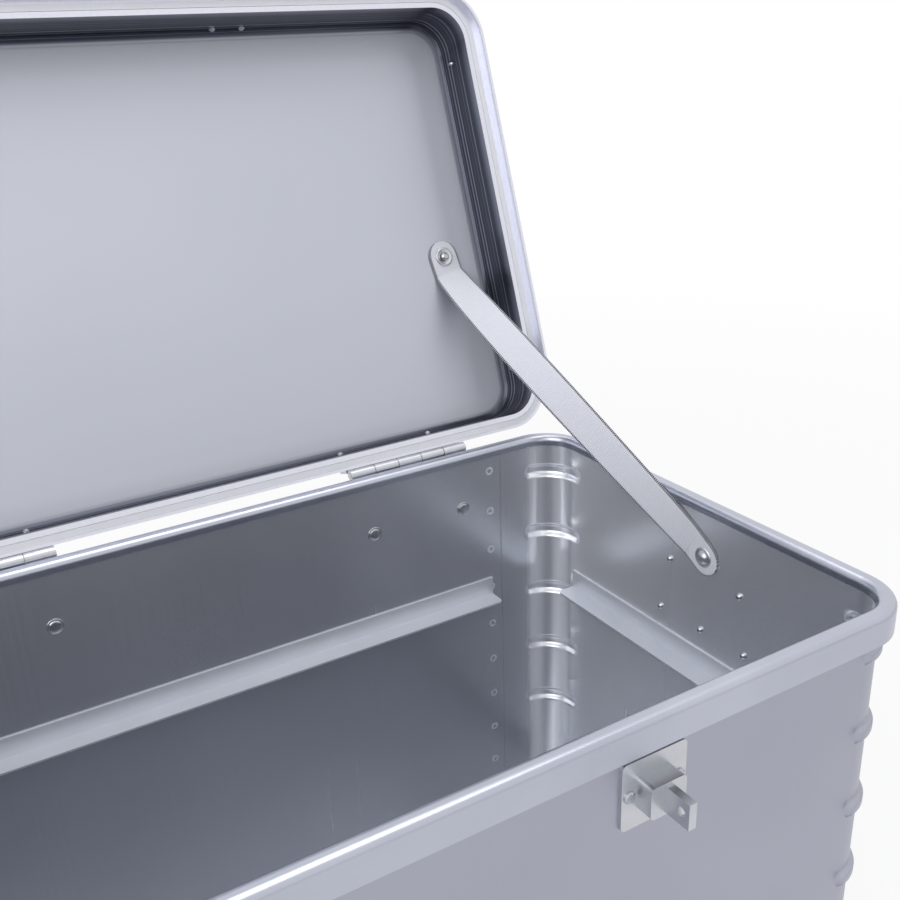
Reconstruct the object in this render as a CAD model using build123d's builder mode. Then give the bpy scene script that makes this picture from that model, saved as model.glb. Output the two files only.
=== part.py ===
from build123d import *
import os
from math import cos, radians, sin

# Sheet-aluminium storage case, standing on its floor with the lid open.
# Origin at the middle of the floor's underside, +X right, +Y to the rear, +Z up, millimetres.

# Case
inner_width = 596
inner_depth = 345
rim_height = 350
wall = 1.5
corner_radius = 28
floor_flange = 18

# Rim profile round the body
rim_inside = 1.6
rim_outside = 10
rim_skirt_depth = 20
rim_inner_depth = 8
rim_sheet = 2
rim_crest_radius = 4.5

# Corner beads pressed outwards
bead_count = 5
bead_pitch = 56
first_bead_below_rim = 33
bead_height = 13
bead_crest = 5
bead_depth = 2.5
bead_reach = 62

# Ledges
ledge_leg = 17.2
ledge_sheet = 1.5
ledge_below_rim = 120
rear_ledge_length = 465
side_ledge_length = 284

# Lid
lid_angle = 109
lid_inner_depth = 46
lid_edge_radius = 7.5
lid_rim_height = 14
lid_lip_drop = 6
lid_lip_sheet = 2.2
lid_lip_gap = 1.3
lid_lip_cover = 10
lid_lip_rear_end = 150
lid_gap = 0.6
seal_inside = 2.5
seal_width = 5
seal_groove = 3.4
seal_fit = 0.2
seal_stand = 0.3

# Hinges
hinge_axis_out = 14.5
hinge_centre = 164.2
hinge_width = 105
hinge_sheet = 2.5
hinge_pin_radius = 2
hinge_barrel_radius = 4.2
hinge_knuckles = 5
knuckle_gap = 0.5
pin_fit = 0.05
body_leaf_drop = 66
lid_leaf_rise = 42
hinge_rivet_spacing = 82.5
hinge_rivet_below_rim = 48

# Rivets
rivet_head_radius = 3.6
rivet_head_height = 1.6
rivet_tail_radius = 2.6
rivet_tail_height = 2.4
corner_rivet_inset = 26

# Side handles
handle_y = -12
handle_top_row_below_rim = 58.4
handle_row_gap = 44.6
handle_top_half_spacing = 35.7
handle_low_half_spacing = 43.6
handle_plate_sheet = 2
handle_plate_margin = 11
handle_axis_out = 14
handle_axis_below_rim = 70
ear_spacing = 96
ear_sheet = 4
ear_height = 20
bail_radius = 3
bail_arm_spacing = 80
bail_drop = 58
bail_bend = 7
bail_end_out = 3
grip_radius = 8.5
grip_length = 62
grip_chamfer = 1.5
ear_fit = 0.1

# Corner castings
casting_sheet = 3.5
casting_reach = 52
base_casting_height = 40
lid_casting_cap = 4
lid_casting_skirt = 26

# Clasps
clasp_x = 105
clasp_width = 36
clasp_sheet = 2.5
clasp_leaf_sheet = 2
clasp_axis_out = 18
clasp_axis_rise = 20
clasp_barrel_radius = 3.5
clasp_pin_radius = 1.6
clasp_leaf_rise = 22
hasp_length = 88
hasp_open = 75
keeper_below_rim = 28
keeper_height = 42
keeper_block_width = 24
keeper_block_height = 20
keeper_block_gap = 2
keeper_loop_sheet = 5
keeper_loop_height = 16
keeper_loop_out = 13
keeper_hole_radius = 3.2
slot_gap = 1.25

# Lid straps
strap_width = 28
strap_sheet = 1.6
strap_seat = 0.3
strap_ease = 0.03
strap_steps = 8
strap_body_y = -12
strap_body_below_rim = 42
strap_lid_x = 260
strap_lid_reach = 160.4
washer_radius = 8
washer_sheet = 1.2
strap_rivet_radius = 3.5
strap_rivet_height = 2.6
strap_body_rivet_radius = 7
strap_body_rivet_height = 3

# Places worked out from the sizes
half_width = inner_width / 2
half_depth = inner_depth / 2
hinge_y = half_depth + hinge_axis_out
rim_inner_edge = rim_height - rim_inner_depth
wall_top = rim_height - rim_sheet - 2
ledge_top = rim_height - ledge_below_rim
sides = {"left": -1, "right": 1}
lid_turn = radians(lid_angle)
lid_plane = Plane(
    origin=(0, hinge_y, rim_height),
    x_dir=(1, 0, 0),
    z_dir=(0, sin(lid_turn), cos(lid_turn)),
)
lid_outer_depth = lid_inner_depth + wall


def save(name, solid):
    """Label a finished piece and write it under its node's name."""
    solid.label = name
    export_step(solid, f"parts/{name}.step")


def outline(out, plane, centre_y=0):
    """Rounded rectangle that lies a given distance outside the wall's inner face."""
    with BuildSketch(plane) as shape:
        with Locations((0, centre_y)):
            RectangleRounded(inner_width + 2 * out, inner_depth + 2 * out, corner_radius + out)
    return shape.sketch


def ring(plane, outer, inner, height, mode=Mode.ADD, centre_y=0):
    """Loop between two distances outside the wall's inner face, raised from a plane."""
    band = outline(outer, plane, centre_y) - outline(inner, plane, centre_y)
    extrude(band, amount=height, mode=mode)


def lid_level(height):
    """Plane parallel to the lid's mating face, with the hinge axis at y = 0."""
    return lid_plane.offset(height)


def lid_side(x):
    """Plane across the lid: first direction to the rear, second up into the lid."""
    origin = lid_plane.from_local_coords(Vector(x, 0, 0))
    return Plane(origin=origin, x_dir=lid_plane.y_dir, z_dir=(1, 0, 0))


def bead_section(level, out):
    """Ridge with a flat crest between two lofted slopes, round the whole case."""
    half = bead_height / 2
    crest = bead_crest / 2
    with BuildPart() as ridge:
        steps = [(-half, 0), (-crest, bead_depth), (crest, bead_depth), (half, 0)]
        loft([outline(out + swell, Plane.XY.offset(level + rise)) for rise, swell in steps], ruled=True)
    return ridge.part


def bead_level(index):
    """Height of a bead's middle, counted from the top."""
    return rim_inner_edge - first_bead_below_rim - index * bead_pitch + bead_height / 2


def corner_zone(low, high):
    """Four upright blocks that hold the ends of the corner beads."""
    with BuildPart() as zone:
        with BuildSketch(Plane.XY.offset(low)):
            with GridLocations(inner_width, inner_depth, 2, 2):
                Rectangle(2 * bead_reach, 2 * bead_reach)
        extrude(amount=high - low)
    return zone.part


# Body wall, one wrapped sheet with beaded corners
def make_body_shell():
    zone = corner_zone(0, rim_height)
    with BuildPart() as shell:
        ring(Plane.XY, wall, 0, wall_top)
        for index in range(bead_count):
            level = bead_level(index)
            add(bead_section(level, wall) & zone)
        for index in range(bead_count):
            level = bead_level(index)
            add(bead_section(level, 0) & zone, mode=Mode.SUBTRACT)
        extrude(outline(0, Plane.XY), amount=rim_height, mode=Mode.SUBTRACT)
    save("body_shell", shell.part)


# Floor pan with an upturned flange inside the wall
def make_floor_pan():
    with BuildPart() as pan:
        extrude(outline(0, Plane.XY), amount=floor_flange)
        extrude(outline(-wall, Plane.XY.offset(wall)), amount=floor_flange, mode=Mode.SUBTRACT)
    save("floor_pan", pan.part)


# Rim profile: a rounded cap over the sheet's edge with an outer skirt
def make_body_rim():
    with BuildPart() as rim:
        ring(Plane.XY.offset(rim_inner_edge), rim_outside, -rim_inside, rim_inner_depth)
        skirt_low = rim_height - rim_skirt_depth
        ring(Plane.XY.offset(skirt_low), rim_outside, rim_outside - rim_sheet, rim_skirt_depth - rim_inner_depth)
        crest = rim.edges().filter_by_position(Axis.Z, rim_height - 0.01, rim_height + 0.01)
        fillet(crest, rim_crest_radius)
        cavity = rim_height - rim_sheet - rim_inner_edge
        ring(Plane.XY.offset(rim_inner_edge), rim_outside - rim_sheet, 0, cavity, Mode.SUBTRACT)
    save("body_rim", rim.part)


# L-profile ledges, upright leg on the wall and flat leg along its foot
def ledge(length, place):
    with BuildPart() as angle:
        with BuildSketch(place):
            Rectangle(ledge_sheet, ledge_leg, align=(Align.MIN, Align.MAX))
            with Locations((0, -ledge_leg)):
                Rectangle(ledge_leg, ledge_sheet, align=(Align.MIN, Align.MIN))
        extrude(amount=length / 2, both=True)
        tip = angle.edges().filter_by(GeomType.LINE).filter_by(Axis(place.origin, place.y_dir))
        toe = tip.sort_by(Axis(place.origin, place.x_dir))[-2:]
        fillet(toe, ledge_leg / 4)
    return angle.part


def make_ledges():
    rear = Plane(origin=(0, half_depth, ledge_top), x_dir=(0, -1, 0), z_dir=(-1, 0, 0))
    front = Plane(origin=(0, -half_depth, ledge_top), x_dir=(0, 1, 0), z_dir=(1, 0, 0))
    save("rear_ledge", ledge(rear_ledge_length, rear))
    save("front_ledge", ledge(rear_ledge_length, front))
    for side, sign in sides.items():
        wall_plane = Plane(origin=(sign * half_width, 0, ledge_top), x_dir=(-sign, 0, 0), z_dir=(0, sign, 0))
        save(f"{side}_ledge", ledge(side_ledge_length, wall_plane))


# Rivets, each a low outer head and a short inner barrel on either side of the sheets
def rivet_heads(place, spots, seat, head=rivet_head_radius, height=rivet_head_height):
    """Chamfered discs on a plane at the spots, raised by a seat height."""
    with BuildPart() as heads:
        with BuildSketch(place.offset(seat)):
            with Locations(*spots):
                Circle(head)
        extrude(amount=height)
        top = heads.faces().filter_by(Plane(place.origin, place.x_dir, place.z_dir)).sort_by(
            Axis(place.origin, place.z_dir)
        )[-len(spots):]
        chamfer(top.edges(), height * 0.55)
    return heads.part


def wall_rivets(outside, spots, stack):
    """Outer heads on a stack of sheets and inner barrels on the wall's inner face."""
    inside = Plane(
        origin=outside.origin - outside.z_dir * wall,
        x_dir=outside.x_dir,
        z_dir=-outside.z_dir,
    )
    mirrored = [(x, -y) for x, y in spots]
    heads = rivet_heads(outside, spots, stack)
    tails = rivet_heads(inside, mirrored, 0, rivet_tail_radius, rivet_tail_height)
    return [heads, tails]


def gather(groups):
    """One compound of all the solids in several parts."""
    return Compound(children=[solid for part in groups for solid in part.solids()])


# Hinges: two leaves with interleaved knuckles on one pin
def knuckle_places(start):
    """Middles of every second knuckle along the hinge's width."""
    step = hinge_width / hinge_knuckles
    return [-hinge_width / 2 + step * (index + 0.5) for index in range(start, hinge_knuckles, 2)]


def leaf(side_plane, centre, start, outer_y, drop, direction):
    """Joggled sheet on a wall, with barrels on the axis at the plane's origin."""
    knuckle = hinge_width / hinge_knuckles - knuckle_gap
    clear = hinge_barrel_radius + knuckle_gap
    face = -hinge_axis_out + wall
    near = outer_y
    far = near + hinge_sheet
    joggle = rim_skirt_depth + 2 if direction < 0 else lid_rim_height + 2
    bend = near - face
    sheet = [
        (near, direction * clear),
        (near, direction * joggle),
        (face, direction * (joggle + bend)),
        (face, direction * drop),
        (face + hinge_sheet, direction * drop),
        (face + hinge_sheet, direction * (joggle + bend + 1)),
        (far, direction * (joggle + 1)),
        (far, direction * clear),
    ]
    with BuildPart() as piece:
        with BuildSketch(side_plane(centre)):
            Polygon(*sheet, align=None)
        extrude(amount=hinge_width / 2, both=True)
        for along in knuckle_places(start):
            with BuildSketch(side_plane(centre + along)):
                Circle(hinge_barrel_radius)
                with Locations((near, 0)):
                    flat = Align.MAX if direction < 0 else Align.MIN
                    Rectangle(hinge_sheet, clear, align=(Align.MIN, flat))
            extrude(amount=knuckle / 2, both=True)
        with BuildSketch(side_plane(centre)):
            Circle(hinge_pin_radius + pin_fit)
        extrude(amount=hinge_width, both=True, mode=Mode.SUBTRACT)
    return piece.part


def body_side(x):
    """Plane across the body through the hinge axis."""
    return Plane(origin=(x, hinge_y, rim_height), x_dir=(0, 1, 0), z_dir=(1, 0, 0))


def make_hinges():
    near = rim_outside + 0.5 - hinge_axis_out
    for side, sign in sides.items():
        centre = sign * hinge_centre
        save(f"{side}_hinge_body_leaf", leaf(body_side, centre, 0, near, body_leaf_drop, -1))
        save(f"{side}_hinge_lid_leaf", leaf(lid_side, centre, 1, near, lid_leaf_rise, 1))
        with BuildPart() as pin:
            with BuildSketch(body_side(centre)):
                Circle(hinge_pin_radius)
            extrude(amount=hinge_width / 2, both=True)
        save(f"{side}_hinge_pin", pin.part)
    spread = hinge_rivet_spacing / 2
    across = [sign * hinge_centre + step for sign in (-1, 1) for step in (-spread, spread)]
    outer = Plane(origin=(0, half_depth + wall, 0), x_dir=(-1, 0, 0), z_dir=(0, 1, 0))
    low = rim_height - hinge_rivet_below_rim
    save("hinge_body_rivets", gather(wall_rivets(outer, [(x, low) for x in across], hinge_sheet)))
    lid_back = Plane(
        origin=lid_plane.from_local_coords(Vector(0, wall - hinge_axis_out, 0)),
        x_dir=(-1, 0, 0),
        z_dir=lid_plane.y_dir,
    )
    high = lid_leaf_rise - rivet_head_radius - 2
    save("hinge_lid_rivets", gather(wall_rivets(lid_back, [(x, high) for x in across], hinge_sheet)))


# Lid pan
def lid_block(out, top, radius):
    """Block with a rounded crown, in the lid's own frame."""
    with BuildPart() as block:
        extrude(outline(out, lid_level(lid_gap + seal_groove), -hinge_y), amount=top - lid_gap - seal_groove)
        crown = block.faces().sort_by(Axis(lid_plane.origin, lid_plane.z_dir))[-1]
        fillet(crown.edges(), radius)
    return block.part


def make_lid_shell():
    with BuildPart() as shell:
        add(lid_block(wall, lid_outer_depth, lid_edge_radius))
        add(lid_block(0, lid_inner_depth, lid_edge_radius - wall), mode=Mode.SUBTRACT)
    save("lid_shell", shell.part)


# Lid rim profile with a lip that covers the body's rim at the front and sides
def make_lid_rim():
    low = lid_level(lid_gap)
    with BuildPart() as cover:
        ring(low, rim_outside + lid_lip_gap + lid_lip_sheet, 2, lid_lip_cover, centre_y=-hinge_y)
        lip_out = rim_outside + lid_lip_gap + lid_lip_sheet
        lip_low = lid_level(-lid_lip_drop)
        ring(lip_low, lip_out, rim_outside + lid_lip_gap, lid_lip_drop + lid_gap, centre_y=-hinge_y)
        with BuildSketch(lid_level(-lid_lip_drop - 1)):
            with Locations((0, lid_lip_rear_end - hinge_y)):
                Rectangle(2 * inner_width, inner_depth, align=(Align.CENTER, Align.MIN))
        extrude(amount=lid_rim_height + lid_lip_drop + 2, mode=Mode.SUBTRACT)
    with BuildPart() as rim:
        ring(low, rim_outside, -rim_inside, lid_rim_height - lid_gap, centre_y=-hinge_y)
        crown = rim.faces().sort_by(Axis(lid_plane.origin, lid_plane.z_dir))[-1]
        fillet(crown.outer_wire().edges(), rim_crest_radius)
        add(cover.part)
        ring(lid_level(lid_gap + seal_groove), wall, 0, lid_rim_height, Mode.SUBTRACT, -hinge_y)
        ring(low, seal_inside + seal_width, seal_inside, seal_groove, Mode.SUBTRACT, -hinge_y)
    save("lid_rim", rim.part)


def make_lid_seal():
    with BuildPart() as seal:
        inner = seal_inside + seal_fit
        outer = seal_inside + seal_width - seal_fit
        top = lid_gap + seal_groove - seal_fit
        ring(lid_level(seal_stand), outer, inner, top - seal_stand, centre_y=-hinge_y)
    save("lid_seal", seal.part)


# Corner castings, riveted round the base and the lid corners
def corner_block(plane, low, high, x_sign, y_sign, centre_y):
    with BuildPart() as block:
        with BuildSketch(plane.offset(low)):
            with Locations((x_sign * half_width, centre_y + y_sign * half_depth)):
                Rectangle(2 * casting_reach, 2 * casting_reach)
        extrude(amount=high - low)
    return block.part


def casting_wrap(plane, low, high, centre_y):
    with BuildPart() as wrap:
        ring(plane.offset(low), wall + casting_sheet, wall, high - low, centre_y=centre_y)
    return wrap.part


def make_castings():
    lid_low = lid_outer_depth - lid_casting_skirt
    base = casting_wrap(Plane.XY, 0, base_casting_height, 0)
    with BuildPart() as crown:
        ring(lid_plane.offset(lid_low), wall + casting_sheet, wall, lid_casting_skirt, centre_y=-hinge_y)
        cap = outline(wall + casting_sheet, lid_plane.offset(lid_outer_depth), -hinge_y)
        extrude(cap, amount=lid_casting_cap)
    for row, y_sign in (("front", -1), ("rear", 1)):
        for side, x_sign in sides.items():
            zone = corner_block(Plane.XY, 0, base_casting_height, x_sign, y_sign, 0)
            save(f"base_corner_{row}_{side}", (base & zone).solids()[0])
            top = lid_outer_depth + lid_casting_cap
            zone = corner_block(lid_plane, lid_low, top, x_sign, y_sign, -hinge_y)
            save(f"lid_corner_{row}_{side}", (crown.part & zone).solids()[0])
    base_high = (floor_flange + base_casting_height) / 2
    lid_high = lid_low + lid_casting_skirt / 3
    base_rivets = []
    lid_rivets = []
    for x_sign in (-1, 1):
        face = Plane(origin=(x_sign * (half_width + wall), 0, 0), x_dir=(0, x_sign, 0), z_dir=(x_sign, 0, 0))
        near = half_depth - casting_reach + corner_rivet_inset / 2
        spots = [(-near, base_high), (near, base_high)]
        base_rivets += wall_rivets(face, spots, casting_sheet)
        origin = lid_plane.from_local_coords(Vector(x_sign * (half_width + wall), -hinge_y, 0))
        face = Plane(origin=origin, x_dir=lid_plane.y_dir * x_sign, z_dir=(x_sign, 0, 0))
        lid_rivets += wall_rivets(face, [(-near, lid_high), (near, lid_high)], casting_sheet)
    save("base_corner_rivets", gather(base_rivets))
    save("lid_corner_rivets", gather(lid_rivets))


# Side drop handles: riveted plate with two ears, round bail and tube grip
def handle_plane(sign):
    """Plane on the wall's outer face, first direction along the wall, looking outwards."""
    return Plane(origin=(sign * (half_width + wall), handle_y, 0), x_dir=(0, sign, 0), z_dir=(sign, 0, 0))


def make_handle_plate(side, sign):
    face = handle_plane(sign)
    top_row = rim_height - handle_top_row_below_rim
    low_row = top_row - handle_row_gap
    axis_high = rim_height - handle_axis_below_rim
    top_half = handle_top_half_spacing + handle_plate_margin
    low_half = handle_low_half_spacing + handle_plate_margin
    ear_out = handle_axis_out - wall
    with BuildPart() as plate:
        with BuildSketch(face):
            Polygon(
                (-low_half, low_row - handle_plate_margin),
                (low_half, low_row - handle_plate_margin),
                (low_half, axis_high + ear_height / 2),
                (top_half, top_row + handle_plate_margin),
                (-top_half, top_row + handle_plate_margin),
                (-low_half, axis_high + ear_height / 2),
                align=None,
            )
        extrude(amount=handle_plate_sheet)
        for end in (-1, 1):
            middle = face.origin + face.x_dir * (end * ear_spacing / 2) + Vector(0, 0, axis_high)
            across = Plane(origin=middle, x_dir=face.z_dir, z_dir=face.x_dir)
            with BuildSketch(across):
                with Locations((handle_plate_sheet, 0)):
                    Rectangle(ear_out - handle_plate_sheet, ear_height, align=(Align.MIN, Align.CENTER))
                with Locations((ear_out, 0)):
                    Circle(ear_height / 2 - 3)
            extrude(amount=ear_sheet / 2, both=True)
            with BuildSketch(across):
                with Locations((ear_out, 0)):
                    Circle(bail_radius + ear_fit)
            extrude(amount=ear_sheet, both=True, mode=Mode.SUBTRACT)
    save(f"{side}_handle_plate", plate.part)


def make_handle_bail(side, sign):
    face = handle_plane(sign).offset(handle_axis_out - wall)
    high = rim_height - handle_axis_below_rim
    low = high - bail_drop
    arm = bail_arm_spacing / 2
    end = ear_spacing / 2 + ear_sheet / 2 + bail_end_out
    corners = [(-end, high), (-arm, high), (-arm, low), (arm, low), (arm, high), (end, high)]
    with BuildPart() as bail:
        with BuildLine(face) as route:
            FilletPolyline(*corners, radius=bail_bend)
        start = route.line @ 0
        with BuildSketch(Plane(origin=start, z_dir=route.line % 0)):
            Circle(bail_radius)
        sweep(path=route.line)
    save(f"{side}_handle_bail", bail.part)
    middle = face.origin + Vector(0, 0, low)
    with BuildPart() as grip:
        with BuildSketch(Plane(origin=middle, x_dir=face.z_dir, z_dir=face.x_dir)):
            Circle(grip_radius)
            Circle(bail_radius, mode=Mode.SUBTRACT)
        extrude(amount=grip_length / 2, both=True)
        ends = grip.edges().filter_by(GeomType.CIRCLE).filter_by(lambda edge: edge.radius > bail_radius + 1)
        chamfer(ends, grip_chamfer)
    save(f"{side}_handle_grip", grip.part)


def make_handles():
    rivets = []
    top_row = rim_height - handle_top_row_below_rim
    low_row = top_row - handle_row_gap
    spots = [(end * handle_top_half_spacing, top_row) for end in (-1, 1)]
    spots += [(end * handle_low_half_spacing, low_row) for end in (-1, 0, 1)]
    for side, sign in sides.items():
        make_handle_plate(side, sign)
        make_handle_bail(side, sign)
        rivets += wall_rivets(handle_plane(sign), spots, handle_plate_sheet)
    save("handle_rivets", gather(rivets))


# Clasps: a hasp hinged on the lid's front drops over a loop on the body
def make_keeper(side, sign):
    face = Plane(origin=(sign * clasp_x, -half_depth - wall, 0), x_dir=(1, 0, 0), z_dir=(0, -1, 0))
    top = rim_height - keeper_below_rim
    middle = top - keeper_height / 2
    hasp_outer = clasp_axis_out + clasp_sheet / 2 - wall
    block_out = clasp_axis_out - clasp_sheet / 2 - wall - keeper_block_gap
    with BuildPart() as keeper:
        with BuildSketch(face):
            with Locations((0, middle)):
                RectangleRounded(clasp_width + 8, keeper_height, 3)
        extrude(amount=clasp_leaf_sheet)
        with BuildSketch(face.offset(clasp_leaf_sheet)):
            with Locations((0, middle)):
                RectangleRounded(keeper_block_width, keeper_block_height, 3)
        extrude(amount=block_out - clasp_leaf_sheet)
        across = Plane(origin=face.origin + Vector(0, 0, middle), x_dir=(0, -1, 0), z_dir=(-1, 0, 0))
        with BuildSketch(across):
            with Locations((block_out, 0)):
                Rectangle(hasp_outer + keeper_loop_out - block_out, keeper_loop_height, align=(Align.MIN, Align.CENTER))
            with Locations((hasp_outer + keeper_loop_out / 2 + 0.5, 0)):
                Circle(keeper_hole_radius, mode=Mode.SUBTRACT)
        extrude(amount=keeper_loop_sheet / 2, both=True)
    save(f"{side}_clasp_keeper", keeper.part)
    spots = [(step * (clasp_width / 2 - 1), middle) for step in (-1, 1)]
    return wall_rivets(face, spots, clasp_leaf_sheet)


def clasp_axis():
    """Middle of the hasp's pin, in the lid's own frame."""
    return Vector(0, -hinge_y - half_depth - clasp_axis_out, clasp_axis_rise)


def clasp_side(x, turn=0):
    """Plane across a clasp through its pin, turned outwards from the closed place."""
    place = lid_side(x)
    spot = clasp_axis()
    origin = lid_plane.from_local_coords(Vector(x, spot.Y, spot.Z))
    return Plane(origin=origin, x_dir=place.x_dir.rotate(Axis.X, -turn), z_dir=place.z_dir)


def make_clasp_leaf(side, sign):
    centre = sign * clasp_x
    face = clasp_axis_out - wall
    end = clasp_width / 3 - knuckle_gap
    with BuildPart() as piece:
        with BuildSketch(clasp_side(centre)):
            with Locations((face, 0)):
                Rectangle(clasp_leaf_sheet, clasp_leaf_rise, align=(Align.MAX, Align.MIN))
        extrude(amount=clasp_width / 2, both=True)
        for step in (-1, 1):
            with BuildSketch(clasp_side(centre + step * clasp_width / 3)):
                Circle(clasp_barrel_radius)
                Rectangle(face, clasp_barrel_radius, align=(Align.MIN, Align.MIN))
            extrude(amount=end / 2, both=True)
        with BuildSketch(clasp_side(centre)):
            Circle(clasp_pin_radius + pin_fit)
        extrude(amount=clasp_width, both=True, mode=Mode.SUBTRACT)
    save(f"{side}_clasp_leaf", piece.part)
    with BuildPart() as pin:
        with BuildSketch(clasp_side(centre)):
            Circle(clasp_pin_radius)
        extrude(amount=clasp_width / 2, both=True)
    save(f"{side}_clasp_pin", pin.part)


def make_hasp(side, sign):
    centre = sign * clasp_x
    keeper_middle = keeper_below_rim + keeper_height / 2 + clasp_axis_rise
    with BuildPart() as hasp:
        with BuildSketch(clasp_side(centre, hasp_open)):
            with Locations((0, -clasp_barrel_radius - knuckle_gap)):
                Rectangle(clasp_sheet, hasp_length - clasp_barrel_radius, align=(Align.CENTER, Align.MAX))
        extrude(amount=clasp_width / 2, both=True)
        with BuildSketch(clasp_side(centre, hasp_open)):
            Circle(clasp_barrel_radius)
            Rectangle(clasp_sheet, 2 * clasp_barrel_radius, align=(Align.CENTER, Align.MAX))
        extrude(amount=(clasp_width / 3 - knuckle_gap) / 2, both=True)
        with BuildSketch(clasp_side(centre, hasp_open)):
            Circle(clasp_pin_radius + pin_fit)
        extrude(amount=clasp_width, both=True, mode=Mode.SUBTRACT)
        with BuildSketch(clasp_side(centre, hasp_open)):
            with Locations((0, -keeper_middle)):
                Rectangle(4 * clasp_sheet, keeper_loop_height + 2 * slot_gap)
        extrude(amount=keeper_loop_sheet / 2 + slot_gap, both=True, mode=Mode.SUBTRACT)
    save(f"{side}_clasp_hasp", hasp.part)


def make_clasps():
    keeper_rivets = []
    leaf_rivets = []
    spot = clasp_axis()
    origin = lid_plane.from_local_coords(Vector(0, -hinge_y - half_depth - wall, 0))
    front = Plane(origin=origin, x_dir=(1, 0, 0), z_dir=-lid_plane.y_dir)
    high = spot.Z + clasp_leaf_rise - rivet_head_radius - 2
    for side, sign in sides.items():
        keeper_rivets += make_keeper(side, sign)
        make_clasp_leaf(side, sign)
        make_hasp(side, sign)
        spots = [(sign * clasp_x + step * clasp_width / 3, high) for step in (-1, 1)]
        leaf_rivets += wall_rivets(front, spots, clasp_leaf_sheet)
    save("clasp_keeper_rivets", gather(keeper_rivets))
    save("clasp_leaf_rivets", gather(leaf_rivets))


# Lid straps of webbing, flat on the side wall at one end and on the lid panel at the other
def strap_ends(sign):
    """Rivet points on the wall's and the panel's inner faces."""
    low = Vector(sign * half_width, strap_body_y, rim_height - strap_body_below_rim)
    high = lid_plane.from_local_coords(Vector(sign * strap_lid_x, -strap_lid_reach, lid_inner_depth))
    return low, high


def strap_tab(origin, face_normal, toward):
    """Round end that lies on a face, with the plane of its cut edge square to the pull."""
    along = (toward - face_normal * toward.dot(face_normal)).normalized()
    lift = origin + face_normal * strap_seat
    flat = Plane(origin=lift, x_dir=along, z_dir=face_normal)
    with BuildPart() as tab:
        with BuildSketch(flat):
            Circle(strap_width / 2)
            Rectangle(strap_width / 2 + 2, strap_width, align=(Align.MIN, Align.CENTER))
        extrude(amount=strap_sheet)
    middle = lift + along * (strap_width / 2) + face_normal * (strap_sheet / 2)
    cut = Plane(origin=middle, x_dir=face_normal.cross(along), z_dir=along)
    return tab.part, cut


def make_strap(side, sign):
    low, high = strap_ends(sign)
    pull = (high - low).normalized()
    wall_normal = Vector(-sign, 0, 0)
    panel_normal = -lid_plane.z_dir
    low_tab, low_cut = strap_tab(low, wall_normal, pull)
    high_tab, high_cut = strap_tab(high, panel_normal, pull * -1)
    across = high_cut.x_dir * -1
    with BuildLine() as route:
        stretch = (high_cut.origin - low_cut.origin).length * strap_ease
        Bezier(
            low_cut.origin,
            low_cut.origin + low_cut.z_dir * stretch,
            high_cut.origin + high_cut.z_dir * stretch,
            high_cut.origin,
        )
    sections = []
    for step in range(strap_steps + 1):
        share = step / strap_steps
        along = route.line % share
        width = low_cut.x_dir * (1 - share) + across * share
        width = (width - along * width.dot(along)).normalized()
        with BuildSketch(Plane(origin=route.line @ share, x_dir=width, z_dir=along)) as section:
            Rectangle(strap_width, strap_sheet)
        sections.append(section.sketch)
    with BuildPart() as strap:
        loft(sections, ruled=True)
        add(low_tab)
        add(high_tab)
    save(f"{side}_strap", strap.part)
    return low, high


def make_straps():
    washers = []
    lid_rivets = []
    body_rivets = []
    lift = strap_seat * 2 + strap_sheet
    for side, sign in sides.items():
        low, high = make_strap(side, sign)
        panel = Plane(origin=high, x_dir=(1, 0, 0), z_dir=-lid_plane.z_dir)
        side_wall = Plane(origin=low, x_dir=(0, sign, 0), z_dir=(-sign, 0, 0))
        washers.append(rivet_heads(panel, [(0, 0)], lift, washer_radius, washer_sheet))
        lid_rivets.append(rivet_heads(panel, [(0, 0)], lift + washer_sheet, strap_rivet_radius, strap_rivet_height))
        body_rivets.append(
            rivet_heads(side_wall, [(0, 0)], lift, strap_body_rivet_radius, strap_body_rivet_height)
        )
    save("strap_washers", gather(washers))
    save("strap_lid_rivets", gather(lid_rivets))
    save("strap_body_rivets", gather(body_rivets))


make_body_shell()
make_floor_pan()
make_body_rim()
make_ledges()
make_hinges()
make_lid_shell()
make_lid_rim()
make_lid_seal()
make_castings()
make_handles()
make_clasps()
make_straps()
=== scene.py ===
import bmesh
import bpy
import numpy as np
from mathutils import Matrix, Vector


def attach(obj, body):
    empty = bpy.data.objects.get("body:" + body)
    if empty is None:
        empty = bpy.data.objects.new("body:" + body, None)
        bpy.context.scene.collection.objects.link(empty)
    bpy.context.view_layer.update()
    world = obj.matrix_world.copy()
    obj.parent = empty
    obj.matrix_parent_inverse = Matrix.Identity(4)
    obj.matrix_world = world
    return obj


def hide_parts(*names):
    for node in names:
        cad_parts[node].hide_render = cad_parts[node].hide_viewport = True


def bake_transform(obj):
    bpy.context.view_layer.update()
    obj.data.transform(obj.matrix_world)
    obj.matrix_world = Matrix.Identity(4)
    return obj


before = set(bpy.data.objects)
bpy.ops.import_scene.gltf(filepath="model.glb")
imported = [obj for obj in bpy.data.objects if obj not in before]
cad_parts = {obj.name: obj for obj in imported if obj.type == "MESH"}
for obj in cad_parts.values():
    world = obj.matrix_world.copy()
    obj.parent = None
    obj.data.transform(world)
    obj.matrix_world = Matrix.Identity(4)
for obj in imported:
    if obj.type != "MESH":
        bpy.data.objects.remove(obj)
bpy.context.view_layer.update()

# Body; all sizes in metres, origin under the middle of the floor, +X right, +Y to the hinges, +Z up
INNER_WIDTH = 0.596
INNER_DEPTH = 0.345
CORNER_RADIUS = 0.028
FLAT_X = INNER_WIDTH / 2 - CORNER_RADIUS
FLAT_Y = INNER_DEPTH / 2 - CORNER_RADIUS
WALL = 0.0015
WALL_TOP = 0.346
RIM_HEIGHT = 0.350

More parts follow.
